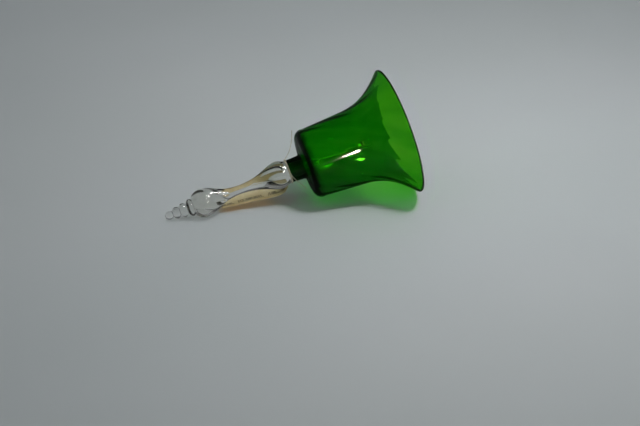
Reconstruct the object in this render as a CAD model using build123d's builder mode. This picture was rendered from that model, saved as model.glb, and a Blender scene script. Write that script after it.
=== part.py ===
"""Hand bell of green blown glass with a clear glass handle, a glass clapper on wire, a string tie and a label.

The bell stands on its ground rim. +Z runs up the bell's axis, and the origin is the centre of the rim's plane.
Sizes are in millimetres. Azimuths are in degrees about +Z, from +X towards +Y.
"""

import os
from math import cos, radians, sin, sqrt, tan

from build123d import *

os.makedirs("parts", exist_ok=True)

# Bell: a blown shell that flares to the rim, closed by a crown with a tubular neck
RIM_RADIUS = 78.0
RIM_WALL = 2.8
RIM_LIP = 1.5
RIM_ROUND = 0.4
RIM_PULL = 24.0
WAIST_RADIUS = 45.6
WAIST_HEIGHT = 62.0
WAIST_PULL = 29.0
BODY_WALL = 2.6
SHOULDER_RADIUS = 42.2
SHOULDER_HEIGHT = 122.0
SHOULDER_ROUND = 10.0
CROWN_RISE = 3.0
CROWN_WALL = 4.0
NECK_ROOT_RADIUS = 14.7
NECK_TOP_RADIUS = 13.7
NECK_LENGTH = 18.6
NECK_FILLET = 4.0
NECK_BORE_RADIUS = 9.4

# Handle: one piece of clear glass with a peg, a low knop, a slim shaft, a grip knop and a row of beads
PEG_RADIUS = 7.4
PEG_LENGTH = 13.0
SEAT_RADIUS = 13.6
LOW_KNOP_RADIUS = 16.7
LOW_KNOP_RISE = 12.6
SHAFT_RADIUS = 5.4
SHAFT_RISE = 62.5
GRIP_KNOP_RADIUS = 17.6
GRIP_KNOP_RISE = 106.4
CAP_RISE = 120.9
CAP_EDGE_RADIUS = 9.0
BEAD_COUNT = 4
BEAD_RADIUS = 10.8
BEAD_STEP = 1.9
BEAD_RISE = 124.0
BEAD_PITCH = 9.0
BEAD_HALF_HEIGHT = 5.4

# Setting: cement in the neck, with the peg above and the clapper's staple below
SET_GAP = 0.02
STAPLE_WIRE = 1.6
STAPLE_HALF_WIDTH = 3.5
STAPLE_DROP = 6.5
STAPLE_GRIP = 6.0

# Clapper gear: a ring, then a wire with an eye, which ends in a capped glass drop
LINK_GAP = 0.3
RING_WIRE = 1.4
RING_RADIUS = 4.0
ROD_WIRE = 1.2
EYE_RADIUS = 3.0
ROD_LENGTH = 55.0
DROP_RADIUS = 6.5
DROP_LENGTH = 19.0
DROP_NECK_RADIUS = 2.4
DROP_SOCKET = 5.0
CLAPPER_CAP_WALL = 0.7
CLAPPER_CAP_GAP = 0.9
CLAPPER_CAP_HEIGHT = 4.2

# String: turns bound round the joint, a knot and two free ends
STRING = 0.8
BINDING_GAP = 0.15
BINDING_TURNS = 3
BINDING_PITCH = 0.84
KNOT_RADIUS = 1.3
KNOT_AZIMUTH = 12.0
KNOT_GAP = 0.05
LAP_OFFSET = 1.2

# Label: a strip of paper that starts at the foot of the handle and bows out along its back
PAPER = 0.3
LABEL_AZIMUTH = 124.0
LABEL_SWEEP = 66.0
LABEL_FOOT_RADIUS = 14.5
LABEL_FOOT_RISE = 4.2
LABEL_FLARE_RADIUS = 20.0
LABEL_FLARE_RISE = 7.8
LABEL_BOW_RADIUS = 25.0
LABEL_BOW_RISE = 17.5
LABEL_MIDDLE_RADIUS = 20.0
LABEL_MIDDLE_RISE = 51.1
LABEL_HEAD_RADIUS = 15.0
LABEL_HEAD_RISE = 89.0

shoulder_slope = (WAIST_RADIUS - SHOULDER_RADIUS) / (SHOULDER_HEIGHT - WAIST_HEIGHT)
crown_height = SHOULDER_HEIGHT + CROWN_RISE
joint = crown_height + NECK_LENGTH
crown_under = crown_height - CROWN_WALL


def flare(rim, waist):
    """Control points of a wall curve that leaves the rim at 45 degrees and meets the body at the waist."""
    return [
        rim,
        rim + Vector(-RIM_PULL, RIM_PULL) / sqrt(2),
        waist + Vector(shoulder_slope, -1) * WAIST_PULL,
        waist,
    ]


def at(radius, azimuth, height):
    """A point from its distance to the axis, its azimuth and its height."""
    return Vector(radius * cos(radians(azimuth)), radius * sin(radians(azimuth)), height)


def bend_radii(points):
    """The bend radius at each inner point of a cord's route."""
    radii = []
    for before, corner, after in zip(points, points[1:], points[2:]):
        turn = radians((corner - before).get_angle(after - corner))
        run = min((corner - before).length, (after - corner).length)
        radii.append(0.45 * run / tan(turn / 2))
    return radii


# ---- bell shell
rim_inner_radius = RIM_RADIUS + RIM_LIP - RIM_WALL * sqrt(2)
outer = flare(Vector(RIM_RADIUS, RIM_LIP), Vector(WAIST_RADIUS, WAIST_HEIGHT))
inner = flare(Vector(rim_inner_radius, 0), Vector(WAIST_RADIUS - BODY_WALL, WAIST_HEIGHT))
shoulder = (SHOULDER_RADIUS, SHOULDER_HEIGHT)
inner_shoulder = (SHOULDER_RADIUS - BODY_WALL, SHOULDER_HEIGHT - CROWN_WALL)
neck_root = (NECK_ROOT_RADIUS, crown_height)
neck_top = joint - SET_GAP

with BuildPart() as bell_shell:
    with BuildSketch(Plane.XZ) as wall:
        with BuildLine():
            Line((RIM_RADIUS, 0), outer[0])
            Bezier(*outer)
            Polyline(outer[3], shoulder, neck_root, (NECK_TOP_RADIUS, neck_top), (NECK_BORE_RADIUS, neck_top))
            Line((NECK_BORE_RADIUS, neck_top), (NECK_BORE_RADIUS, crown_under))
            Polyline((NECK_BORE_RADIUS, crown_under), inner_shoulder, inner[3])
            Bezier(*inner)
            Line(inner[0], (RIM_RADIUS, 0))
        make_face()
        corners = wall.vertices()
        fillet(corners.sort_by_distance(shoulder)[0], SHOULDER_ROUND)
        fillet(corners.sort_by_distance(inner_shoulder)[0], SHOULDER_ROUND - BODY_WALL)
        fillet(corners.sort_by_distance(neck_root)[0], NECK_FILLET)
        fillet(wall.vertices().sort_by_distance((RIM_RADIUS, 0))[0], RIM_ROUND)
    revolve(axis=Axis.Z)
bell_shell.part.label = "bell_shell"

# ---- handle
low_knop = Vector(LOW_KNOP_RADIUS, joint + LOW_KNOP_RISE)
shaft = Vector(SHAFT_RADIUS, joint + SHAFT_RISE)
grip_knop = Vector(GRIP_KNOP_RADIUS, joint + GRIP_KNOP_RISE)
knop_cap = Vector(CAP_EDGE_RADIUS, joint + CAP_RISE)
taper = shaft.Y - low_knop.Y
swell = grip_knop.Y - shaft.Y
peg_foot = joint - PEG_LENGTH

with BuildPart() as handle:
    with BuildSketch(Plane.XZ):
        with BuildLine():
            Polyline((0, peg_foot), (PEG_RADIUS, peg_foot), (PEG_RADIUS, joint), (SEAT_RADIUS, joint))
            Bezier(
                (SEAT_RADIUS, joint),
                (SEAT_RADIUS, joint + 0.4 * LOW_KNOP_RISE),
                low_knop - (0, 0.45 * LOW_KNOP_RISE),
                low_knop,
            )
            Bezier(low_knop, low_knop + (0, 0.2 * taper), shaft - (0, 0.53 * taper), shaft)
            Bezier(shaft, shaft + (0, 0.55 * swell), grip_knop - (0, 0.24 * swell), grip_knop)
            Bezier(
                grip_knop,
                grip_knop + (0, 0.55 * (knop_cap.Y - grip_knop.Y)),
                knop_cap + (0.5 * (grip_knop.X - knop_cap.X), 0),
                knop_cap,
            )
            Polyline(knop_cap, (0, knop_cap.Y), (0, peg_foot))
        make_face()
        for i in range(BEAD_COUNT):
            with Locations((0, joint + BEAD_RISE + i * BEAD_PITCH)):
                Ellipse(BEAD_RADIUS - i * BEAD_STEP, BEAD_HALF_HEIGHT)
        with Locations((RIM_RADIUS, joint)):
            Rectangle(2 * RIM_RADIUS, 4 * joint, mode=Mode.INTERSECT)
    revolve(axis=Axis.Z)
handle.part.label = "handle"

# ---- cement in the neck
leg_places = [(-STAPLE_HALF_WIDTH, 0), (STAPLE_HALF_WIDTH, 0)]
staple_wire_radius = STAPLE_WIRE / 2

with BuildPart() as neck_cement:
    with BuildSketch(Plane.XY.offset(crown_under)):
        Circle(NECK_BORE_RADIUS - SET_GAP)
    extrude(amount=neck_top - crown_under)
    with BuildSketch(Plane.XY.offset(peg_foot - SET_GAP)):
        Circle(PEG_RADIUS + SET_GAP)
    extrude(until=Until.LAST, mode=Mode.SUBTRACT)
    with BuildSketch(Plane.XY.offset(crown_under)):
        with Locations(*leg_places):
            Circle(staple_wire_radius + SET_GAP)
    extrude(amount=STAPLE_GRIP + SET_GAP, mode=Mode.SUBTRACT)
neck_cement.part.label = "neck_cement"

# ---- staple
staple_pivot = crown_under - STAPLE_DROP
staple_top = crown_under + STAPLE_GRIP
bow_centre = staple_pivot + STAPLE_HALF_WIDTH

with BuildPart() as clapper_staple:
    with BuildLine(Plane.XZ) as staple_path:
        Line((-STAPLE_HALF_WIDTH, staple_top), (-STAPLE_HALF_WIDTH, bow_centre))
        ThreePointArc((-STAPLE_HALF_WIDTH, bow_centre), (0, staple_pivot), (STAPLE_HALF_WIDTH, bow_centre))
        Line((STAPLE_HALF_WIDTH, bow_centre), (STAPLE_HALF_WIDTH, staple_top))
    with BuildSketch(Plane.XY.offset(staple_top)):
        with Locations(leg_places[0]):
            Circle(staple_wire_radius)
    sweep(path=staple_path.wires()[0])
clapper_staple.part.label = "clapper_staple"

# ---- ring between the staple and the clapper's eye
ring_centre = staple_pivot + (STAPLE_WIRE + RING_WIRE) / 2 + LINK_GAP - RING_RADIUS
ring_pivot = ring_centre - RING_RADIUS

with BuildPart() as hanger_ring:
    with Locations((0, 0, ring_centre)):
        Torus(RING_RADIUS, RING_WIRE / 2, rotation=(0, 90, 0))
hanger_ring.part.label = "hanger_ring"

# ---- clapper: wire, glass drop and cap
eye_centre = ring_pivot + (RING_WIRE + ROD_WIRE) / 2 + LINK_GAP - EYE_RADIUS
rod_top = eye_centre - EYE_RADIUS
rod_foot = rod_top - ROD_LENGTH
drop_top = rod_foot + DROP_SOCKET
drop_foot = drop_top - DROP_LENGTH
rod_radius = ROD_WIRE / 2

with BuildPart() as clapper_rod:
    with Locations((0, 0, eye_centre)):
        Torus(EYE_RADIUS, rod_radius, rotation=(90, 0, 0))
    with BuildSketch(Plane.XY.offset(rod_foot)):
        Circle(rod_radius)
    extrude(amount=ROD_LENGTH)
clapper_rod.part.label = "clapper_rod"

drop_belly = Vector(DROP_RADIUS, drop_foot + DROP_RADIUS)
drop_shoulder = Vector(DROP_NECK_RADIUS, drop_top)
drop_reach = drop_shoulder.Y - drop_belly.Y

with BuildPart() as clapper_drop:
    with BuildSketch(Plane.XZ):
        with BuildLine():
            ThreePointArc(
                (0, drop_foot),
                (DROP_RADIUS * sin(radians(45)), drop_belly.Y - DROP_RADIUS * cos(radians(45))),
                drop_belly,
            )
            Bezier(
                drop_belly,
                drop_belly + (0, 0.45 * drop_reach),
                drop_shoulder - (0, 0.45 * drop_reach),
                drop_shoulder,
            )
            Polyline(drop_shoulder, (0, drop_top), (0, drop_foot))
        make_face()
    revolve(axis=Axis.Z)
    with BuildSketch(Plane.XY.offset(rod_foot - SET_GAP)):
        Circle(rod_radius + SET_GAP)
    extrude(amount=DROP_SOCKET + SET_GAP, mode=Mode.SUBTRACT)
clapper_drop.part.label = "clapper_drop"

cap_inner = DROP_NECK_RADIUS + CLAPPER_CAP_GAP
cap_foot = drop_top - CLAPPER_CAP_HEIGHT + CLAPPER_CAP_WALL

with BuildPart() as clapper_cap:
    with BuildSketch(Plane.XY.offset(drop_top + SET_GAP)):
        Circle(cap_inner + CLAPPER_CAP_WALL)
        Circle(rod_radius + SET_GAP, mode=Mode.SUBTRACT)
    extrude(amount=CLAPPER_CAP_WALL)
    with BuildSketch(Plane.XY.offset(cap_foot)):
        Circle(cap_inner + CLAPPER_CAP_WALL)
        Circle(cap_inner, mode=Mode.SUBTRACT)
    extrude(amount=drop_top + SET_GAP - cap_foot)
    rim_edges = clapper_cap.edges().filter_by(GeomType.CIRCLE).group_by(Axis.Z)[-1]
    fillet(rim_edges.sort_by(SortBy.RADIUS)[-1], 0.5 * CLAPPER_CAP_WALL)
clapper_cap.part.label = "clapper_cap"

# ---- string binding and knot
string_radius = STRING / 2
binding_radius = max(NECK_TOP_RADIUS, SEAT_RADIUS) + string_radius + BINDING_GAP
knot_centre = at(binding_radius + string_radius + KNOT_RADIUS + SET_GAP, KNOT_AZIMUTH, joint)

with BuildPart() as string_binding:
    for i in range(BINDING_TURNS):
        with Locations((0, 0, joint + (i - 1) * BINDING_PITCH)):
            Torus(binding_radius, string_radius)
string_binding.part.label = "string_binding"

with BuildPart() as string_knot:
    with Locations(knot_centre):
        Sphere(KNOT_RADIUS)
string_knot.part.label = "string_knot"

# ---- free ends of the string: the rear one over the crown, the front one round the joint and down
lap_radius = binding_radius + LAP_OFFSET
rear_bend = at(21.4, 18, joint - 7.4)
rear_route = [
    knot_centre + (rear_bend - knot_centre).normalized() * (KNOT_RADIUS + KNOT_GAP),
    rear_bend,
    at(28.4, 22, joint - 12.9),
    at(36.8, 25, joint - 17.1),
    at(45.0, 28, joint - 20.6),
]
front_route = [
    at(lap_radius, -18, joint + 0.3),
    at(lap_radius, -40, joint + 0.2),
    at(lap_radius, -62, joint - 0.1),
    at(lap_radius, -84, joint - 0.8),
    at(18.4, -110, joint - 5.0),
    at(22.7, -125, joint - 9.5),
    at(27.0, -134.5, joint - 12.9),
]

for name, route in {"string_end_rear": rear_route, "string_end_front": front_route}.items():
    radii = bend_radii(route)
    with BuildPart() as string_end:
        with BuildLine() as route_line:
            FilletPolyline(*route, radius=radii)
        with BuildSketch(Plane(origin=route[0], z_dir=route[1] - route[0])):
            Circle(string_radius)
        sweep(path=route_line.wires()[0])
    string_end.part.label = name
    export_step(string_end.part, f"parts/{name}.step")
    print(name, "radii", [round(r, 1) for r in radii], "length", round(route_line.wires()[0].length, 2))

# ---- label
label_x = Vector(cos(radians(LABEL_AZIMUTH)), sin(radians(LABEL_AZIMUTH)), 0)
label_plane = Plane(origin=(0, 0, 0), x_dir=label_x, z_dir=label_x.cross(Vector(0, 0, 1)))
label_points = [
    Vector(LABEL_FOOT_RADIUS, joint + LABEL_FOOT_RISE),
    Vector(LABEL_FLARE_RADIUS, joint + LABEL_FLARE_RISE),
    Vector(LABEL_BOW_RADIUS, joint + LABEL_BOW_RISE),
    Vector(LABEL_MIDDLE_RADIUS, joint + LABEL_MIDDLE_RISE),
    Vector(LABEL_HEAD_RADIUS, joint + LABEL_HEAD_RISE),
]

with BuildPart() as paper_label:
    with BuildSketch(label_plane):
        with BuildLine():
            Spline(*label_points)
            Line(label_points[-1], label_points[-1] + (PAPER, 0))
            Spline(*[point + (PAPER, 0) for point in label_points])
            Line(label_points[0] + (PAPER, 0), label_points[0])
        make_face()
    revolve(axis=Axis.Z, revolution_arc=LABEL_SWEEP)
paper_label.part.label = "paper_label"

pieces = [
    bell_shell,
    handle,
    neck_cement,
    clapper_staple,
    hanger_ring,
    clapper_rod,
    clapper_drop,
    clapper_cap,
    string_binding,
    string_knot,
    paper_label,
]
for piece in pieces:
    export_step(piece.part, f"parts/{piece.part.label}.step")
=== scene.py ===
"""Hand bell of green glass, seen lying on a pale table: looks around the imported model.

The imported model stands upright, with +Z up the bell's axis. The picture shows the bell lying on
its rim and its grip knop, so the table is a tilted plane here, and the camera is turned to look
down at that table.
"""

from math import atan2, cos, radians, sin, tau

import bmesh
import bpy
from mathutils import Matrix, Vector


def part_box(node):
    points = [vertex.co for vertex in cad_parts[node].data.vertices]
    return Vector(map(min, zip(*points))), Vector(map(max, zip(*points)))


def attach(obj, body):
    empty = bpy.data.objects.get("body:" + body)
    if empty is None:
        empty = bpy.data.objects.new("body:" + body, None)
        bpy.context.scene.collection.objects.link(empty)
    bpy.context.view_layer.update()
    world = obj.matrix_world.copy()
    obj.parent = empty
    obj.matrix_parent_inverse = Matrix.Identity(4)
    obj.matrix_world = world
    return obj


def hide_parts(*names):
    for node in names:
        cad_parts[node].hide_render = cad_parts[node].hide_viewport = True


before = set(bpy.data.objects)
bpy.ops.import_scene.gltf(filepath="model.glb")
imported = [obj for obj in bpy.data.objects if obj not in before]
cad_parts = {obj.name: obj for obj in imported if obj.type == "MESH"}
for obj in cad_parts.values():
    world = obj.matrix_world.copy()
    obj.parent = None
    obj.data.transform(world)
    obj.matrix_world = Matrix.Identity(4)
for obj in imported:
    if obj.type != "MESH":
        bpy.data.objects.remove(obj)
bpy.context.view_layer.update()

MM = 0.001

bell_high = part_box("bell_shell")[1]
handle_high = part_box("handle")[1]
RIM_RADIUS = bell_high[0]
JOINT = bell_high[2]
TIP = handle_high[2]
GRIP_RADIUS = handle_high[0]
GRIP_RISE = 106.4 * MM
GRIP_HEIGHT = JOINT + GRIP_RISE

# ---- how the bell lies on the table
TILT = atan2(RIM_RADIUS - GRIP_RADIUS, GRIP_HEIGHT)
YAW = radians(16.7)
table_up = Vector((cos(TILT), 0, -sin(TILT)))
along_bell = Vector((-sin(TILT), 0, -cos(TILT)))
across_bell = Vector((0, 1, 0))
table_right = cos(YAW) * along_bell - sin(YAW) * across_bell
table_away = sin(YAW) * along_bell + cos(YAW) * across_bell
table_axes = Matrix((table_right, table_away, table_up)).transposed()
rim_rest = Vector((-RIM_RADIUS, 0, 0))


def on_table(right, away, up):
    """A point from its distances from the rim's centre: right, away from the camera and up."""
    return table_axes @ Vector((right, away, up))


# ---- camera
LENS = 80.0
SENSOR = 36.0
CAMERA_PITCH = radians(31.93)
CAMERA_PLACE = on_table(-0.0958, -1.5131, 0.8258)


def add_camera():
    camera = bpy.data.objects.new("camera", bpy.data.cameras.new("camera"))
    bpy.context.scene.collection.objects.link(camera)
    camera.data.lens = LENS
    camera.data.sensor_width = SENSOR
    view = table_away * cos(CAMERA_PITCH) - table_up * sin(CAMERA_PITCH)
    up = table_up * cos(CAMERA_PITCH) + table_away * sin(CAMERA_PITCH)
    turn = Matrix((table_right, up, -view)).transposed().to_4x4()
    camera.matrix_world = Matrix.Translation(CAMERA_PLACE) @ turn
    bpy.context.scene.camera = camera


# ---- material helpers
class Nodes:
    """A material's node tree, with short calls to add and link nodes."""

    def __init__(self, name):
        self.material = bpy.data.materials.new(name)
        self.material.use_nodes = True
        self.tree = self.material.node_tree
        self.tree.nodes.clear()
        self.output = self.add("ShaderNodeOutputMaterial")

    def add(self, kind, **inputs):
        node = self.tree.nodes.new(kind)
        for name, value in inputs.items():
            self.set(node, name.replace("_", " "), value)
        return node

    def set(self, node, name, value):
        socket = node.inputs[name]
        if isinstance(value, bpy.types.NodeSocket):
            self.tree.links.new(value, socket)
        else:
            socket.default_value = value

    def math(self, operation, a, b=0.0, c=0.0):
        node = self.tree.nodes.new("ShaderNodeMath")
        node.operation = operation
        for i, value in enumerate((a, b, c)):
            if isinstance(value, bpy.types.NodeSocket):
                self.tree.links.new(value, node.inputs[i])
            else:
                node.inputs[i].default_value = value
        return node.outputs[0]

    def place(self):
        return self.tree.nodes.new("ShaderNodeTexCoord").outputs["Object"]

    def noise(self, scale, detail=3.0, roughness=0.5, vector=None):
        node = self.add("ShaderNodeTexNoise", Scale=scale, Detail=detail, Roughness=roughness)
        self.tree.links.new(vector or self.place(), node.inputs["Vector"])
        return node.outputs["Fac"]

    def ramp(self, factor, *stops):
        node = self.tree.nodes.new("ShaderNodeValToRGB")
        while len(node.color_ramp.elements) < len(stops):
            node.color_ramp.elements.new(0.5)
        for element, (position, color) in zip(node.color_ramp.elements, stops):
            element.position = position
            element.color = (*color, 1.0)
        self.tree.links.new(factor, node.inputs["Fac"])
        return node.outputs["Color"]

    def bump(self, height, distance, strength=1.0):
        node = self.add("ShaderNodeBump", Height=height, Distance=distance, Strength=strength)
        return node.outputs["Normal"]

    def mix(self, factor, first, second):
        node = self.tree.nodes.new("ShaderNodeMixShader")
        for i, value in enumerate((factor, first, second)):
            if isinstance(value, bpy.types.NodeSocket):
                self.tree.links.new(value, node.inputs[i])
            else:
                node.inputs[i].default_value = value
        return node.outputs[0]

    def surface(self, socket):
        self.tree.links.new(socket, self.output.inputs["Surface"])
        return self.material


def lamp_share(n):
    """1 for rays that carry light to a matt surface, which pass straight through glass, or 0."""
    path = n.tree.nodes.new("ShaderNodeLightPath")
    return n.math("MAXIMUM", path.outputs["Is Shadow Ray"], path.outputs["Is Diffuse Ray"])


def faces_axis(n):
    """1 on a surface that faces the axis, such as the inside of the bell, and 0 elsewhere."""
    coordinates = n.tree.nodes.new("ShaderNodeTexCoord")
    dot = n.tree.nodes.new("ShaderNodeVectorMath")
    dot.operation = "DOT_PRODUCT"
    n.tree.links.new(coordinates.outputs["Normal"], dot.inputs[0])
    n.tree.links.new(coordinates.outputs["Object"], dot.inputs[1])
    return n.math("LESS_THAN", dot.outputs["Value"], 0.0)


GLASS_INDEX = 1.5
RIPPLE_SCALE = 70.0
SPECK_SCALE = 900.0
SPECK_SHARE = 0.04
HAMMER_SCALE = 380.0
RIPPLE_DEPTH = 0.0002
RIPPLE_STRENGTH = 0.3
COAT_ROUGHNESS = 0.05
INSIDE_MIRROR = 0.6


def glass(
    name,
    tint,
    density,
    let_through,
    mirror=0.85,
    coat=0.06,
    blown=0.0,
    swirl=None,
    streaks=None,
):
    """Solid glass that absorbs with depth, rippled and specked, and lets lamps light the table.

    The mirror share and the coat set how strongly it mirrors its surroundings. Blown is how much
    more rippled the inside of a blown piece is than its outside, and such an inside mirrors more.
    The swirl shades bands of the light that the glass lets through, and the streaks shade what is
    seen through it.
    """
    n = Nodes(name)
    ripples = n.noise(RIPPLE_SCALE, 2.0)
    specks = n.noise(SPECK_SCALE, 1.0)
    height = n.math("MULTIPLY_ADD", specks, SPECK_SHARE, ripples)
    if blown:
        hammered = n.math("MULTIPLY", n.noise(HAMMER_SCALE, 1.0), faces_axis(n))
        height = n.math("MULTIPLY_ADD", hammered, blown, height)
    body = n.add("ShaderNodeBsdfPrincipled", Roughness=0.0, IOR=GLASS_INDEX)
    body.inputs["Base Color"].default_value = (1, 1, 1, 1)
    body.inputs["Transmission Weight"].default_value = 1.0
    face = n.bump(height, RIPPLE_DEPTH, RIPPLE_STRENGTH)
    n.set(body, "Normal", face)
    n.set(body, "Coat Normal", face)
    body.inputs["Coat Weight"].default_value = coat
    body.inputs["Coat Roughness"].default_value = COAT_ROUGHNESS
    dull = n.add("ShaderNodeBsdfRefraction", Color=(1, 1, 1, 1), Roughness=0.0, IOR=GLASS_INDEX)
    n.set(dull, "Normal", face)
    if streaks:
        shade = streaks(n)
        n.set(body, "Base Color", shade)
        n.set(dull, "Color", shade)
    clear = n.add("ShaderNodeBsdfTransparent", Color=(*let_through, 1.0))
    if swirl:
        n.set(clear, "Color", swirl(n))
    volume = n.add("ShaderNodeVolumeAbsorption", Color=(*tint, 1.0), Density=density)
    n.tree.links.new(volume.outputs[0], n.output.inputs["Volume"])
    if blown:
        mirror = n.math("MULTIPLY_ADD", faces_axis(n), INSIDE_MIRROR, mirror)
    seen = n.mix(mirror, dull.outputs[0], body.outputs[0])
    return n.surface(n.mix(lamp_share(n), seen, clear.outputs[0]))


GREEN_TINT = (0.467, 0.866, 0.02)
GREEN_DENSITY = 1640.0
CLEAR_TINT = (0.86, 0.86, 0.83)
CLEAR_DENSITY = 70.0
CLEAR_PASS = (0.77, 0.78, 0.78)
DROP_TINT = (0.9, 0.97, 0.93)
DROP_DENSITY = 6.0
DROP_PASS = (0.95, 0.97, 0.96)


# ---- outlines, as (radius, height) points in millimetres
def bezier(points, count):
    """Points along a cubic curve, without its first point."""
    a, b, c, d = (Vector(p) for p in points)
    line = []
    for i in range(1, count + 1):
        t = i / count
        s = 1 - t
        line.append(a * s**3 + b * 3 * s * s * t + c * 3 * s * t * t + d * t**3)
    return line


def rounded(before, corner, after, radius, count=10):
    """Points of the arc that rounds a corner."""
    before, corner, after = Vector(before), Vector(corner), Vector(after)
    back, on = (before - corner).normalized(), (after - corner).normalized()
    half = back.angle(on) / 2
    reach = radius / (sin(half) / cos(half))
    centre = corner + (back + on).normalized() * (radius / sin(half))
    start, end = corner + back * reach - centre, corner + on * reach - centre
    sweep = start.angle(end)
    line = []
    for i in range(count + 1):
        t = i / count
        line.append(centre + (start * sin((1 - t) * sweep) + end * sin(t * sweep)) / sin(sweep))
    return line


def straight(start, end, count):
    """Points between two points, without either end."""
    start, end = Vector(start), Vector(end)
    return [start.lerp(end, i / count) for i in range(1, count)]


RIM = RIM_RADIUS / MM
JOINT_MM = JOINT / MM
WAIST = Vector((45.6, 62.0))
SHOULDER = Vector((42.2, 122.0))
NECK_ROOT = Vector((14.7, 125.0))
NECK_TOP = Vector((13.7, JOINT_MM))
BORE = 9.4
RIM_LIP = Vector((RIM, 1.5))
RIM_INSIDE = Vector((75.54, 0.0))
BODY_WALL = 2.6
CROWN_WALL = 4.0
WAIST_PULL = 29.0
RIM_PULL = 17.0


def flare(rim, waist, count):
    slope = (WAIST.x - SHOULDER.x) / (SHOULDER.y - WAIST.y)
    pull = Vector((slope, -1)) * WAIST_PULL
    return bezier((rim, rim + Vector((-RIM_PULL, RIM_PULL)), waist + pull, waist), count)


def bell_outside():
    line = rounded((0, 0), (RIM, 0), RIM_LIP, 0.5, 5) + [RIM_LIP]
    line += flare(RIM_LIP, WAIST, 70)
    line += straight(WAIST, SHOULDER - Vector((0, 9)), 36)
    line += rounded(WAIST, SHOULDER, NECK_ROOT, 10.0, 18)
    line += straight(line[-1], NECK_ROOT + Vector((4.5, 0)), 12)
    line += rounded(SHOULDER, NECK_ROOT, NECK_TOP, 4.0, 9)
    line += straight(line[-1], NECK_TOP, 10)
    return line + rounded(NECK_ROOT, NECK_TOP, (BORE, JOINT_MM), 0.7, 4)


def bell_inside():
    waist = WAIST - Vector((BODY_WALL, 0))
    shoulder = SHOULDER - Vector((BODY_WALL, CROWN_WALL))
    bore_foot = Vector((BORE, NECK_ROOT.y - CROWN_WALL))
    line = [Vector((BORE, JOINT_MM))] + straight((BORE, JOINT_MM), bore_foot, 10)
    line += [bore_foot] + straight(bore_foot, shoulder - Vector((7.0, 0)), 14)
    line += rounded(bore_foot, shoulder, waist, 7.4, 14)
    line += straight(line[-1], waist, 36)
    return line + [waist] + list(reversed([RIM_INSIDE] + flare(RIM_INSIDE, waist, 70)[:-1]))


def turned(name, line, push, around, closed):
    """Turns an outline round the axis, each point moved by push(radius, height, angle)."""
    mesh = bmesh.new()
    rings = []
    for radius, height in line:
        if radius < 1e-6:
            rings.append([mesh.verts.new((0, 0, height * MM))])
            continue
        ring = []
        for j in range(around):
            angle = tau * j / around
            r = (radius + push(radius, height, angle)) * MM
            ring.append(mesh.verts.new((r * cos(angle), r * sin(angle), height * MM)))
        rings.append(ring)
    pairs = list(zip(rings, rings[1:] + rings[:1] if closed else rings[1:]))
    for low, high in pairs:
        for j in range(around):
            k = (j + 1) % around
            corners = [low[j % len(low)], low[k % len(low)]]
            corners += [high[k % len(high)], high[j % len(high)]]
            distinct = list(dict.fromkeys(corners))
            if len(distinct) > 2:
                mesh.faces.new(distinct)
    bmesh.ops.recalc_face_normals(mesh, faces=mesh.faces)
    return finished(name, mesh)


def finished(name, mesh):
    """A smooth-shaded object from a bmesh."""
    for face in mesh.faces:
        face.smooth = True
    data = bpy.data.meshes.new(name)
    mesh.to_mesh(data)
    mesh.free()
    piece = bpy.data.objects.new(name, data)
    bpy.context.scene.collection.objects.link(piece)
    return piece


def smoothstep(low, high, value):
    t = min(max((value - low) / (high - low), 0.0), 1.0)
    return t * t * (3 - 2 * t)


# ---- bell: blown in a ribbed mould and twisted, so the inside has slanting ridges
BELL_RIBS = 14
BELL_TWIST = radians(75)
BELL_PHASE = radians(0)
RIDGE = 0.45
SWELL = 0.02
RIB_SIDES = 20
BANDS_PER_RIB = 3
BAND_SHADE = 0.2
BAND_LEVEL = 0.92
GATHERED = (1.05, 1.25, 1.0)
STREAK_SCALE = 2.6
STREAK_STRETCH = 6.0


def bell_twist(height):
    return BELL_PHASE + BELL_TWIST * (height / SHOULDER.y)


def bell_ridges(radius, height, angle):
    """Wall thickness added on the inside: a sharp ridge at each rib, with a hollow between."""
    share = (BELL_RIBS * (angle - bell_twist(height)) / tau) % 1.0
    fade = smoothstep(0.0, 9.0, height) * smoothstep(24.0, 34.0, radius)
    return -RIDGE * fade * (2 * share - 1) ** 2


def bell_swell(radius, height, angle):
    """The outside follows the ribs softly."""
    fade = smoothstep(1.0, 12.0, height) * smoothstep(18.0, 30.0, radius)
    return -SWELL * fade * (0.5 - 0.5 * cos(BELL_RIBS * (angle - bell_twist(height))))


def twisted_angle(n):
    """The angle round the axis, less the ribs' turn up to that height, and the height."""
    split = n.tree.nodes.new("ShaderNodeSeparateXYZ")
    n.tree.links.new(n.place(), split.inputs[0])
    x, y, z = split.outputs
    return n.math("MULTIPLY_ADD", z, -BELL_TWIST / (SHOULDER.y * MM), n.math("ARCTAN2", y, x)), z


def blown_streaks(n):
    """Broad uneven streaks along the ribs, where the glass is a little thicker or darker."""
    angle, z = twisted_angle(n)
    around = n.tree.nodes.new("ShaderNodeCombineXYZ")
    parts = n.math("SINE", angle), n.math("COSINE", angle), n.math("MULTIPLY", z, STREAK_STRETCH)
    for value, socket in zip(parts, around.inputs):
        n.tree.links.new(value, socket)
    streak = n.noise(STREAK_SCALE, 2.0, 0.5, around.outputs[0])
    return n.ramp(streak, (0.36, (0.78, 0.92, 0.9)), (0.64, (1.0, 1.0, 1.0)))


def rib_swirl(n):
    """Slanting bands of light and shade, a few to a rib, as ribs gather the light."""
    wave = n.math("SINE", n.math("MULTIPLY", twisted_angle(n)[0], BANDS_PER_RIB * BELL_RIBS))
    band = n.math("MULTIPLY_ADD", wave, BAND_SHADE, BAND_LEVEL)
    gathered = n.tree.nodes.new("ShaderNodeCombineXYZ")
    for socket, strength in zip(gathered.inputs, GATHERED):
        n.tree.links.new(n.math("MULTIPLY", band, strength), socket)
    return gathered.outputs[0]


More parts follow.
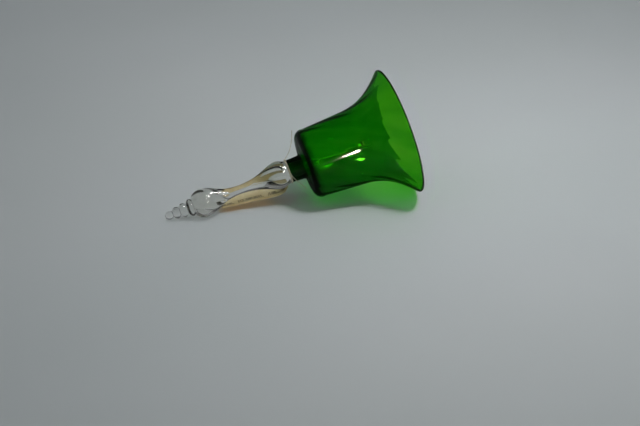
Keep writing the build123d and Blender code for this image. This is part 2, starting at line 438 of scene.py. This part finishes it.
def build_bell():
    outside = bell_outside()
    inside = bell_inside()
    inner = {tuple(p) for p in inside}

    def push(radius, height, angle):
        shape = bell_ridges if (radius, height) in inner else bell_swell
        return shape(radius, height, angle)

    piece = turned("bell_glass", outside + inside, push, BELL_RIBS * RIB_SIDES, True)
    material = glass(
        "green_glass",
        GREEN_TINT,
        GREEN_DENSITY,
        (1, 1, 1),
        mirror=0.16,
        coat=0.3,
        blown=0.7,
        swirl=rib_swirl,
        streaks=blown_streaks,
    )
    piece.data.materials.append(material)
    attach(piece, "bell")
    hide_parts("bell_shell")


# ---- handle: drawn clear glass, lobed at the low knop and twisted at the grip knop
LOW_KNOP = Vector((16.7, JOINT_MM + 12.6))
SHAFT = Vector((5.4, JOINT_MM + 62.5))
GRIP_KNOP = Vector((GRIP_RADIUS / MM, GRIP_HEIGHT / MM))
KNOP_CAP = Vector((9.0, JOINT_MM + 120.9))
BEADS = 4
BEAD_FIRST = JOINT_MM + 124.0
BEAD_PITCH = 9.0
BEAD_RADIUS = 10.8
BEAD_STEP = 1.9
BEAD_HALF = 5.4
SEAT = 13.6
PEG = Vector((7.4, JOINT_MM - 13.0))


def handle_outline():
    taper, swell, close = SHAFT.y - LOW_KNOP.y, GRIP_KNOP.y - SHAFT.y, KNOP_CAP.y - GRIP_KNOP.y
    seat = Vector((SEAT, JOINT_MM))
    rise = LOW_KNOP.y - JOINT_MM
    line = [Vector((0, PEG.y)), PEG, Vector((PEG.x, JOINT_MM))]
    line.append(seat)
    for low, high, leave, arrive, steps in (
        (seat, LOW_KNOP, 0.4 * rise, 0.45 * rise, 16),
        (LOW_KNOP, SHAFT, 0.2 * taper, 0.53 * taper, 44),
        (SHAFT, GRIP_KNOP, 0.55 * swell, 0.24 * swell, 56),
    ):
        line += bezier((low, low + Vector((0, leave)), high - Vector((0, arrive)), high), steps)
    side = Vector((0.5 * (GRIP_KNOP.x - KNOP_CAP.x), 0))
    cap = bezier((GRIP_KNOP, GRIP_KNOP + Vector((0, 0.55 * close)), KNOP_CAP + side, KNOP_CAP), 26)
    return [p for p in line + cap if p.y < BEAD_FIRST - 0.55 * BEAD_HALF] + bead_outline()


def bead_outline():
    """The row of beads, each an ellipse, cut where it meets the next."""
    line = []
    start = BEAD_FIRST - 0.5 * BEAD_HALF
    steps = int((TIP / MM - start) / 0.35)
    for i in range(steps + 1):
        height = start + (TIP / MM - start) * i / steps
        radius = 0.0
        for bead in range(BEADS):
            off = (height - BEAD_FIRST - bead * BEAD_PITCH) / BEAD_HALF
            if abs(off) < 1:
                radius = max(radius, (BEAD_RADIUS - bead * BEAD_STEP) * (1 - off * off) ** 0.5)
        line.append(Vector((radius, height)))
    line[-1] = Vector((0, TIP / MM))
    return line


GRIP_RIBS = 8
GRIP_TWIST = radians(110)
GRIP_DEPTH = 0.085
BEAD_FADE = 0.6
GRIP_SIDES = 30
LOBES = 8
LOBE_DEPTH = 0.12
LOBE_TWIST = radians(35)


def handle_ribs(radius, height, angle):
    """Twisted ribs on the grip knop, faint ones on the beads, and lobes on the low knop.

    All are cut inwards, so the handle stays inside the CAD box.
    """
    above = (height - SHAFT.y) / (KNOP_CAP.y - SHAFT.y)
    grip = smoothstep(0.05, 0.35, above) * (1 - BEAD_FADE * smoothstep(0.9, 1.02, above))
    turn = GRIP_TWIST * above
    share = (GRIP_RIBS * (angle - turn) / tau) % 1.0
    cut = grip * GRIP_DEPTH * (2 * share - 1) ** 2
    up = (height - JOINT_MM) / (LOW_KNOP.y - JOINT_MM)
    lobe = smoothstep(0.15, 0.7, up) * (1 - smoothstep(1.6, 4.2, up))
    share = (LOBES * (angle - LOBE_TWIST * up / 4) / tau) % 1.0
    return -radius * (cut + lobe * LOBE_DEPTH * (2 * share - 1) ** 2)


def build_handle():
    piece = turned("handle_glass", handle_outline(), handle_ribs, GRIP_RIBS * GRIP_SIDES, False)
    piece.data.materials.append(glass("clear_glass", CLEAR_TINT, CLEAR_DENSITY, CLEAR_PASS))
    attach(piece, "bell")
    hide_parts("handle")


# ---- string
STRING = 0.8 * MM
BINDING_RADIUS = 14.25 * MM
LAP_RADIUS = BINDING_RADIUS + 1.2 * MM
PLIES = 3
LAY_LENGTH = 2.4 * MM
THREAD_STEP = 0.16 * MM
PLY_SIDES = 8
PLY_RADIUS = 0.3
PLY_OFFSET = 0.24


def at(radius, azimuth, height):
    """A point from its distance to the axis, its azimuth in degrees and its height."""
    return Vector((radius * cos(radians(azimuth)), radius * sin(radians(azimuth)), height))


def nurbs_line(points):
    """The points of a smooth curve that has the given points as its control points."""
    curve = bpy.data.curves.new("route", "CURVE")
    curve.dimensions = "3D"
    curve.resolution_u = 24
    spline = curve.splines.new("NURBS")
    spline.points.add(len(points) - 1)
    for target, point in zip(spline.points, points):
        target.co = (*point, 1.0)
    spline.order_u = 3
    spline.use_endpoint_u = True
    holder = bpy.data.objects.new("route", curve)
    mesh = bpy.data.meshes.new_from_object(holder)
    line = [v.co.copy() for v in mesh.vertices]
    bpy.data.meshes.remove(mesh)
    bpy.data.objects.remove(holder)
    bpy.data.curves.remove(curve)
    return line


def evenly(line, step):
    """The same line with its points a step apart."""
    result = [line[0]]
    left = step
    for start, end in zip(line, line[1:]):
        run = (end - start).length
        while left < run:
            result.append(start.lerp(end, left / run))
            left += step
        left -= run
    return result + [line[-1]]


def thread_mesh(name, line, diameter):
    """A twisted thread: plies wound round each other along a line."""
    line = evenly(line, THREAD_STEP)
    mesh = bmesh.new()
    ply = diameter * PLY_RADIUS
    away = diameter * PLY_OFFSET
    for strand in range(PLIES):
        previous = None
        normal = Vector((0.3, 0.5, 1.0))
        for i, point in enumerate(line):
            ahead = (line[min(i + 1, len(line) - 1)] - line[max(i - 1, 0)]).normalized()
            normal = (normal - ahead * normal.dot(ahead)).normalized()
            side = ahead.cross(normal)
            turn = tau * (i * THREAD_STEP / LAY_LENGTH + strand / PLIES)
            centre = point + (normal * cos(turn) + side * sin(turn)) * away
            ring = []
            for j in range(PLY_SIDES):
                a = tau * j / PLY_SIDES
                ring.append(mesh.verts.new(centre + (normal * cos(a) + side * sin(a)) * ply))
            if previous:
                for j in range(PLY_SIDES):
                    k = (j + 1) % PLY_SIDES
                    mesh.faces.new((previous[j], previous[k], ring[k], ring[j]))
            else:
                mesh.faces.new(list(reversed(ring)))
            previous = ring
        mesh.faces.new(previous)
    bmesh.ops.recalc_face_normals(mesh, faces=mesh.faces)
    return finished(name, mesh)


TURNS = 3
TURN_STEPS = 60
TURN_PITCH = 0.84 * MM
WANDER = 0.12 * MM
KNOT_AZIMUTH = 12
KNOT = at(BINDING_RADIUS + 1.72 * MM, KNOT_AZIMUTH, JOINT)
KNOT_EDGE_MM = 1.35
KNOT_STEPS = 160
KNOT_LOOP = 0.85 * MM
KNOT_THICKNESS = 0.55 * MM
REAR_BEND = at(21.4 * MM, 18, JOINT - 7.4 * MM)
REAR_ROUTE = [
    KNOT + (REAR_BEND - KNOT).normalized() * KNOT_EDGE_MM * MM,
    REAR_BEND,
    at(28.4 * MM, 22, JOINT - 12.9 * MM),
    at(36.8 * MM, 25, JOINT - 17.1 * MM),
    at(45.0 * MM, 28, JOINT - 20.6 * MM),
]
FRONT_ROUTE = [
    at(LAP_RADIUS, -18, JOINT + 0.3 * MM),
    at(LAP_RADIUS, -40, JOINT + 0.2 * MM),
    at(LAP_RADIUS, -62, JOINT - 0.1 * MM),
    at(LAP_RADIUS, -84, JOINT - 0.8 * MM),
    at(18.4 * MM, -110, JOINT - 5.0 * MM),
    at(22.7 * MM, -125, JOINT - 9.5 * MM),
    at(27.0 * MM, -134.5, JOINT - 12.9 * MM),
]


def string_material():
    n = Nodes("string")
    fibres = n.noise(2600.0, 3.0, 0.6)
    stain = n.noise(240.0, 2.0)
    color = n.ramp(stain, (0.3, (0.38, 0.34, 0.25)), (0.7, (0.64, 0.6, 0.48)))
    body = n.add("ShaderNodeBsdfPrincipled", Roughness=0.85)
    n.set(body, "Base Color", color)
    n.set(body, "Normal", n.bump(fibres, 0.00008, 0.8))
    body.inputs["Sheen Weight"].default_value = 0.3
    return n.surface(body.outputs[0])


def wound_thread():
    """The line of the turns round the joint, wandering a little along the axis."""
    line = []
    for i in range(TURNS * TURN_STEPS + 1):
        share = i / (TURNS * TURN_STEPS)
        rise = (share - 0.5) * (TURNS - 1) * TURN_PITCH + WANDER * sin(5 * tau * share)
        line.append(at(BINDING_RADIUS, KNOT_AZIMUTH + 360 * TURNS * share, JOINT + rise))
    return line


def knotted_thread():
    """The line of a small tight knot of three crossing loops."""
    line = []
    for i in range(KNOT_STEPS + 1):
        t = tau * i / KNOT_STEPS
        reach = KNOT_LOOP * (0.72 + 0.28 * cos(3 * t))
        across = (KNOT_THICKNESS * sin(3 * t), reach * cos(2 * t), reach * sin(2 * t))
        line.append(KNOT + Vector(across))
    return line


def build_string():
    material = string_material()
    for name, node, route in (
        ("string_rear", "string_end_rear", REAR_ROUTE),
        ("string_front", "string_end_front", FRONT_ROUTE),
    ):
        line = nurbs_line(route)
        piece = thread_mesh(name, line, STRING)
        piece.data.materials.append(material)
        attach(piece, "bell")
        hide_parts(node)
    binding = thread_mesh("string_wrap", wound_thread(), STRING)
    binding.data.materials.append(material)
    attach(binding, "bell")
    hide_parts("string_binding")
    knot = thread_mesh("string_knot_tied", knotted_thread(), STRING)
    knot.data.materials.append(material)
    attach(knot, "bell")
    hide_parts("string_knot")


# ---- label
LABEL_POINTS = [
    Vector((14.5, JOINT_MM + 4.2)),
    Vector((20.0, JOINT_MM + 7.8)),
    Vector((25.0, JOINT_MM + 17.5)),
    Vector((20.0, JOINT_MM + 51.1)),
    Vector((15.0, JOINT_MM + 89.0)),
]
LABEL_AZIMUTH = radians(124)
LABEL_SWEEP = radians(66)
LABEL_TRIM = radians(26)
LABEL_LINE_STEPS = 26
LABEL_SIDE_STEPS = 36
PAPER = 0.3
INK_REACH = 0.021
INK_ROW = -0.0035
INK_HALF_ROW = 0.0023
INK_SCALE = 360.0
INK_STROKE = 0.12
INK_GAPS = 110.0


def through(points, count):
    """A smooth line through points, of (radius, height) pairs."""
    ends = [points[0] * 2 - points[1]] + points + [points[-1] * 2 - points[-2]]
    line = []
    for i in range(len(points) - 1):
        p0, p1, p2, p3 = ends[i : i + 4]
        for k in range(count):
            t = k / count
            line.append(
                0.5 * (2 * p1 + (p2 - p0) * t + (2 * p0 - 5 * p1 + 4 * p2 - p3) * t * t
                       + (3 * p1 - p0 - 3 * p2 + p3) * t**3)
            )
    return line + [points[-1]]


def faded_strokes(n):
    """A faint broken row of small curls along the strip, like ink too worn to read."""
    split = n.tree.nodes.new("ShaderNodeSeparateXYZ")
    n.tree.links.new(n.place(), split.inputs[0])
    x, y, z = split.outputs
    angle = n.math("ARCTAN2", n.math("MULTIPLY", y, -1.0), n.math("MULTIPLY", x, -1.0))
    across = n.math("MULTIPLY", angle, INK_REACH)
    flat = n.tree.nodes.new("ShaderNodeCombineXYZ")
    n.tree.links.new(across, flat.inputs[0])
    n.tree.links.new(z, flat.inputs[1])
    curls = n.noise(INK_SCALE, 1.0, 0.5, flat.outputs[0])
    contour = n.math("LESS_THAN", n.math("ABSOLUTE", n.math("SUBTRACT", curls, 0.5)), INK_STROKE)
    row = n.math("LESS_THAN", n.math("ABSOLUTE", n.math("SUBTRACT", across, INK_ROW)), INK_HALF_ROW)
    gaps = n.math("GREATER_THAN", n.noise(INK_GAPS, 0.0, 0.5, flat.outputs[0]), 0.3)
    return n.math("MULTIPLY", n.math("MULTIPLY", contour, row), gaps)


def label_material():
    """Aged translucent paper, which tints what is seen through it and the light that passes it."""
    n = Nodes("label_paper")
    stain = n.noise(90.0, 4.0, 0.6)
    fibre = n.noise(1400.0, 4.0, 0.7)
    tone = n.math("MULTIPLY_ADD", fibre, 0.25, stain)
    color = n.ramp(tone, (0.35, (0.74, 0.66, 0.38)), (0.75, (0.97, 0.92, 0.66)))
    ink = n.math("MULTIPLY", faded_strokes(n), 0.8)
    inked = n.tree.nodes.new("ShaderNodeMix")
    inked.data_type = "RGBA"
    n.tree.links.new(ink, inked.inputs["Factor"])
    n.tree.links.new(color, inked.inputs["A"])
    inked.inputs["B"].default_value = (0.05, 0.04, 0.03, 1.0)
    color = inked.outputs["Result"]
    front = n.add("ShaderNodeBsdfPrincipled", Roughness=0.42)
    n.set(front, "Base Color", color)
    n.set(front, "Normal", n.bump(fibre, 0.00006, 0.5))
    back = n.add("ShaderNodeBsdfTranslucent")
    n.set(back, "Color", color)
    clear = n.add("ShaderNodeBsdfTransparent", Color=(0.98, 0.93, 0.74, 1.0))
    paper = n.mix(0.22, front.outputs[0], back.outputs[0])
    lit = n.add("ShaderNodeBsdfTransparent", Color=(0.76, 0.52, 0.05, 1.0))
    seen = n.mix(n.math("MULTIPLY_ADD", ink, -0.4, 0.48), paper, clear.outputs[0])
    return n.surface(n.mix(lamp_share(n), seen, lit.outputs[0]))


def build_label():
    """A thin curved strip with a little curl and cockle, closed all round."""
    line = through(LABEL_POINTS, LABEL_LINE_STEPS)
    mesh = bmesh.new()

    def skin(extra):
        rows = []
        for i, (radius, height) in enumerate(line):
            row = []
            for j in range(LABEL_SIDE_STEPS + 1):
                u, v = i / (len(line) - 1), j / LABEL_SIDE_STEPS
                free = smoothstep(0, 0.2, u) * (1 - smoothstep(0.85, 1, u))
                cockle = 0.35 * sin(9 * u + 4 * v) * sin(3 * v + 1.3) + 0.22 * sin(23 * u + 7 * v)
                trim = LABEL_TRIM * (1 - smoothstep(0.1, 0.5, u))
                angle = LABEL_AZIMUTH + trim + (LABEL_SWEEP - trim) * v + 0.012 * sin(14 * u)
                r = (radius + extra + free * cockle * 0.7) * MM
                row.append(mesh.verts.new((r * cos(angle), r * sin(angle), height * MM)))
            rows.append(row)
        return rows

    near, far = skin(0), skin(PAPER)
    for a, b in zip(near, near[1:]):
        for j in range(LABEL_SIDE_STEPS):
            mesh.faces.new((a[j], a[j + 1], b[j + 1], b[j]))
    for a, b in zip(far, far[1:]):
        for j in range(LABEL_SIDE_STEPS):
            mesh.faces.new((a[j], b[j], b[j + 1], a[j + 1]))
    borders = [[[row[end] for row in side] for side in (near, far)] for end in (0, -1)]
    for a, b in (*borders, (near[0], far[0]), (near[-1], far[-1])):
        for j in range(len(a) - 1):
            mesh.faces.new((a[j], a[j + 1], b[j + 1], b[j]))
    bmesh.ops.recalc_face_normals(mesh, faces=mesh.faces)
    piece = finished("label_strip", mesh)
    piece.data.materials.append(label_material())
    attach(piece, "bell")
    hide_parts("paper_label")


# ---- the clapper gear and the cement keep their CAD shapes
def worn_metal(name, dark, light, roughness, scale):
    n = Nodes(name)
    wear = n.noise(scale, 5.0, 0.65)
    color = n.ramp(wear, (0.35, dark), (0.7, light))
    body = n.add("ShaderNodeBsdfPrincipled", Metallic=1.0)
    n.set(body, "Base Color", color)
    n.set(body, "Roughness", n.math("MULTIPLY_ADD", wear, 0.3, roughness))
    n.set(body, "Normal", n.bump(wear, 0.00005, 0.6))
    return n.surface(body.outputs[0])


def cement_material():
    n = Nodes("cement")
    grain = n.noise(500.0, 5.0, 0.7)
    color = n.ramp(grain, (0.3, (0.012, 0.014, 0.012)), (0.75, (0.06, 0.06, 0.05)))
    body = n.add("ShaderNodeBsdfPrincipled", Roughness=0.7)
    n.set(body, "Base Color", color)
    n.set(body, "Normal", n.bump(grain, 0.0002, 0.7))
    return n.surface(body.outputs[0])


def dress_cad_nodes():
    wire = worn_metal("iron_wire", (0.16, 0.13, 0.11), (0.5, 0.47, 0.43), 0.3, 700.0)
    brass = worn_metal("brass", (0.35, 0.24, 0.09), (0.72, 0.55, 0.27), 0.2, 600.0)
    drop = glass("drop_glass", DROP_TINT, DROP_DENSITY, DROP_PASS)
    looks = {
        "neck_cement": cement_material(),
        "clapper_staple": wire,
        "hanger_ring": wire,
        "clapper_rod": wire,
        "clapper_cap": brass,
        "clapper_drop": drop,
    }
    for node, material in looks.items():
        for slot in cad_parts[node].material_slots:
            slot.material = material


# ---- table, world and lights
def table_material():
    """Pale paper. From behind it isn't there, so that it never hides the bell."""
    n = Nodes("table")
    cloud = n.noise(2.2, 2.0)
    fibre = n.noise(420.0, 3.0)
    tone = n.math("MULTIPLY_ADD", fibre, 0.1, cloud)
    color = n.ramp(tone, (0.3, (0.535, 0.575, 0.58)), (0.8, (0.575, 0.61, 0.62)))
    body = n.add("ShaderNodeBsdfPrincipled", Roughness=0.8)
    n.set(body, "Base Color", color)
    n.set(body, "Normal", n.bump(fibre, 0.0003, 0.25))
    clear = n.add("ShaderNodeBsdfTransparent")
    behind = n.tree.nodes.new("ShaderNodeNewGeometry").outputs["Backfacing"]
    return n.surface(n.mix(behind, body.outputs[0], clear.outputs[0]))


TABLE_HALF = 2.4
TABLE_GAP = 0.0003


def add_table():
    mesh = bmesh.new()
    corners = []
    for right, away in ((-1, -1), (1, -1), (1, 1), (-1, 1)):
        corner = on_table(right * TABLE_HALF, away * TABLE_HALF, -TABLE_GAP)
        corners.append(mesh.verts.new(rim_rest + corner))
    mesh.faces.new(corners)
    mesh.normal_update()
    table = finished("table", mesh)
    table.data.materials.append(table_material())


def add_lamp(name, place, target, width, height, power, color=(1, 1, 1)):
    lamp = bpy.data.lights.new(name, "AREA")
    lamp.shape = "RECTANGLE"
    lamp.size = width
    lamp.size_y = height
    lamp.energy = power
    lamp.color = color
    holder = bpy.data.objects.new(name, lamp)
    bpy.context.scene.collection.objects.link(holder)
    way = (target - place).normalized()
    side = way.cross(table_up)
    if side.length < 1e-3:
        side = table_right.copy()
    side.normalize()
    up = side.cross(way)
    turn = Matrix((side, up, -way)).transposed().to_4x4()
    holder.matrix_world = Matrix.Translation(place) @ turn
    return holder


HIGHLIGHT_LIMIT = 50.0
CEILING = (0.08, 0.08, 0.08)
WALLS = (0.22, 0.23, 0.24)
BACKDROP = (0.33, 0.35, 0.37)
FILL_LOW = (0.06, 0.062, 0.064)
FILL_HIGH = (0.385, 0.405, 0.415)


def add_world():
    """Pale walls and a dim ceiling for the glass, and an even fill for the matt surfaces."""
    world = bpy.data.worlds.new("studio")
    bpy.context.scene.world = world
    world.use_nodes = True
    tree = world.node_tree

    def choose(factor, first, second):
        node = tree.nodes.new("ShaderNodeMix")
        node.data_type = "RGBA"
        for socket, value in (("Factor", factor), ("A", first), ("B", second)):
            socket = node.inputs[socket]
            if isinstance(value, tuple):
                socket.default_value = (*value, 1.0)
            else:
                tree.links.new(value, socket)
        return node.outputs["Result"]

    way = tree.nodes.new("ShaderNodeTexCoord").outputs["Generated"]
    rise = tree.nodes.new("ShaderNodeVectorMath")
    rise.operation = "DOT_PRODUCT"
    tree.links.new(way, rise.inputs[0])
    rise.inputs[1].default_value = table_up
    share = tree.nodes.new("ShaderNodeMapRange")
    share.inputs["From Min"].default_value = 0.08
    share.inputs["From Max"].default_value = 0.35
    tree.links.new(rise.outputs["Value"], share.inputs["Value"])
    room = choose(share.outputs["Result"], WALLS, CEILING)
    path = tree.nodes.new("ShaderNodeLightPath")
    fill = choose(rise.outputs["Value"], FILL_LOW, FILL_HIGH)
    lit = choose(path.outputs["Is Diffuse Ray"], room, fill)
    seen = choose(path.outputs["Is Camera Ray"], lit, BACKDROP)
    tree.links.new(seen, tree.nodes["Background"].inputs["Color"])


LIT_MIDDLE = on_table(-0.07, -0.02, -0.04)
LIT_CENTRE = LIT_MIDDLE + on_table(0.16, 0.14, 0)


def add_lights():
    """A soft lamp overhead, and two lamps that only show as highlights on glass and metal."""
    overhead_place = LIT_MIDDLE + on_table(0.31, -0.14, 0.94) * 1.8
    overhead = add_lamp("overhead", overhead_place, LIT_CENTRE, 0.3, 0.24, 1.45)
    overhead.data.spread = radians(60)
    panel_place = LIT_MIDDLE + on_table(0.32, -0.06, 0.94) * 1.3
    panel = add_lamp("panel", panel_place, LIT_MIDDLE, 0.36, 0.28, 24.0)
    window_place = LIT_MIDDLE + on_table(0.225, -0.92, 0.32) * 1.7
    window = add_lamp("window", window_place, LIT_MIDDLE, 0.03, 0.11, 22.0, (1.0, 0.84, 0.6))
    for lamp in (panel, window):
        lamp.visible_diffuse = False
        lamp.visible_transmission = False


add_camera()
build_string()
build_bell()
build_handle()
build_label()
dress_cad_nodes()
add_table()
add_world()
add_lights()
bpy.context.scene.view_settings.view_transform = "Standard"
bpy.context.scene.cycles.sample_clamp_indirect = HIGHLIGHT_LIMIT
